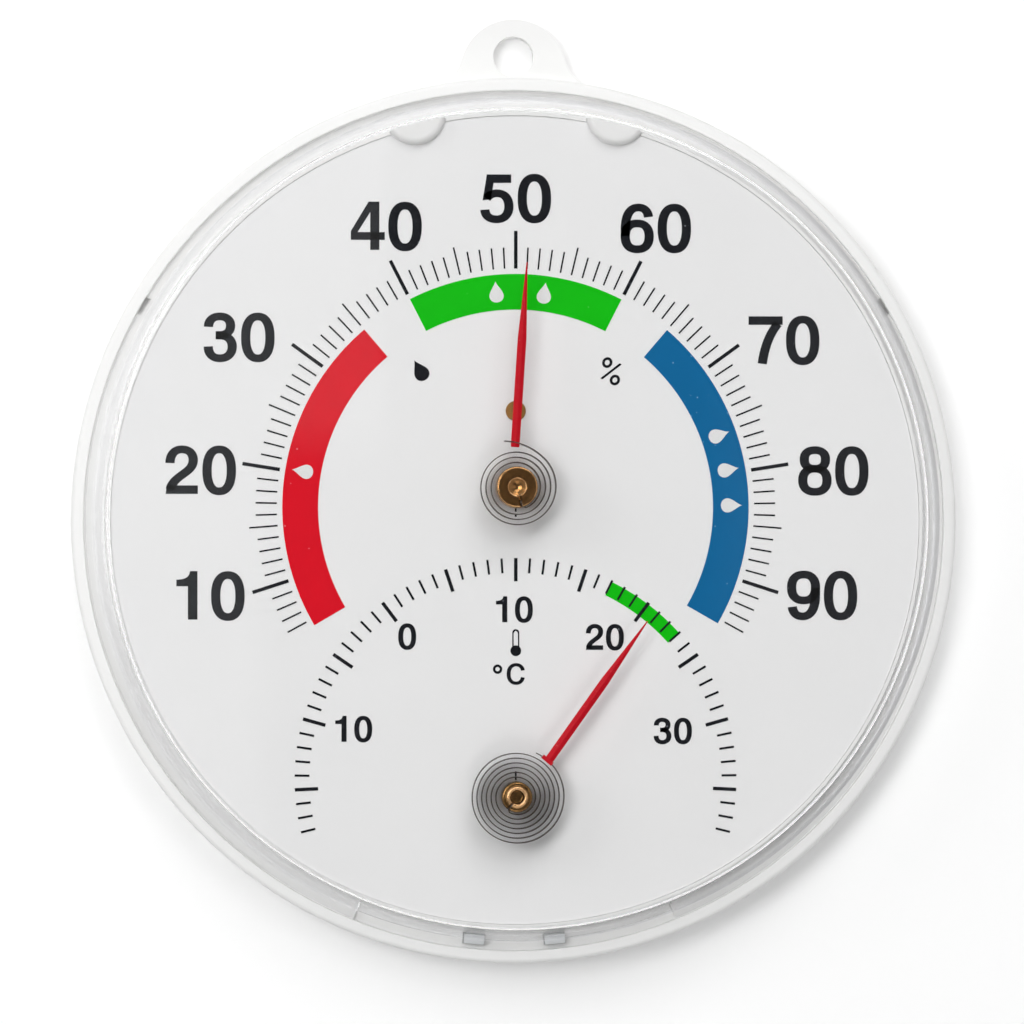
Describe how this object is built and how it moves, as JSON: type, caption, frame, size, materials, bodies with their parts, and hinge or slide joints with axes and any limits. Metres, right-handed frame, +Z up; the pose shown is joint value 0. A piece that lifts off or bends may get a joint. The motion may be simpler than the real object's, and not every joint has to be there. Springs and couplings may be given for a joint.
{
  "type": "dial thermo-hygrometer",
  "caption": "Round wall dial with a humidity scale above a small temperature scale, coil-driven red pointers, clear clip-on cover and hanging eye",
  "frame": {"origin": "the middle of the hanging hole, on the plane of the wall face", "axes": "+Z up, the dial faces -Y, the wall is behind at +Y, +X is the reader's right"},
  "size_m": [0.132, 0.024, 0.1412],
  "materials": {
    "case_plastic": "semi-gloss moulded white",
    "clear_plastic": "clear polished",
    "dial_paint": "satin white paint",
    "brass": "turned",
    "steel": "plain",
    "strip_metal": "dull rolled strip",
    "pointer_paint": "satin red paint",
    "red_ink": "printed ink",
    "green_ink": "printed ink",
    "blue_ink": "printed ink",
    "black_ink": "printed ink"
  },
  "bodies": {
    "case": {"rear_case": "case_plastic", "front_cover": "clear_plastic", "dial_plate": "dial_paint", "dial_rivet": "brass", "hub_strip": "steel", "dry_band_print": "red_ink", "ideal_band_print": "green_ink", "humid_band_print": "blue_ink", "comfort_band_print": "green_ink", "hygro_scale_print": "black_ink", "thermo_scale_print": "black_ink", "hygro_bush": "brass", "hygro_spring_washer": "steel", "thermo_stud": "brass", "thermo_washer": "steel", "thermo_coil": "strip_metal"},
    "hygrometer_arbor": {"hygro_arbor": "brass", "hygro_retainer": "steel", "hygro_coil": "strip_metal"},
    "hygrometer_pointer": {"hygro_pointer": "pointer_paint"},
    "thermometer_pointer": {"thermo_pointer": "pointer_paint"}
  },
  "joints": [
    {"name": "hygrometer_trim_turn", "type": "hinge", "parent": "case", "child": "hygrometer_arbor", "pos_m": [0, -0.015, -0.0649], "axis": [0, 1, 0], "range_deg": [-20, 20]},
    {"name": "hygrometer_pointer_turn", "type": "hinge", "parent": "hygrometer_arbor", "child": "hygrometer_pointer", "pos_m": [0, -0.018, -0.0649], "axis": [0, 1, 0], "range_deg": [-125.9, 120.6], "stiffness_Nm_per_rad": 0.0002, "deforming": ["hygro_coil"]},
    {"name": "thermometer_pointer_turn", "type": "hinge", "parent": "case", "child": "thermometer_pointer", "pos_m": [0, -0.0175, -0.1106], "axis": [0, 1, 0], "range_deg": [-136.1, 62.9], "stiffness_Nm_per_rad": 0.0002, "deforming": ["thermo_coil"]}
  ]
}
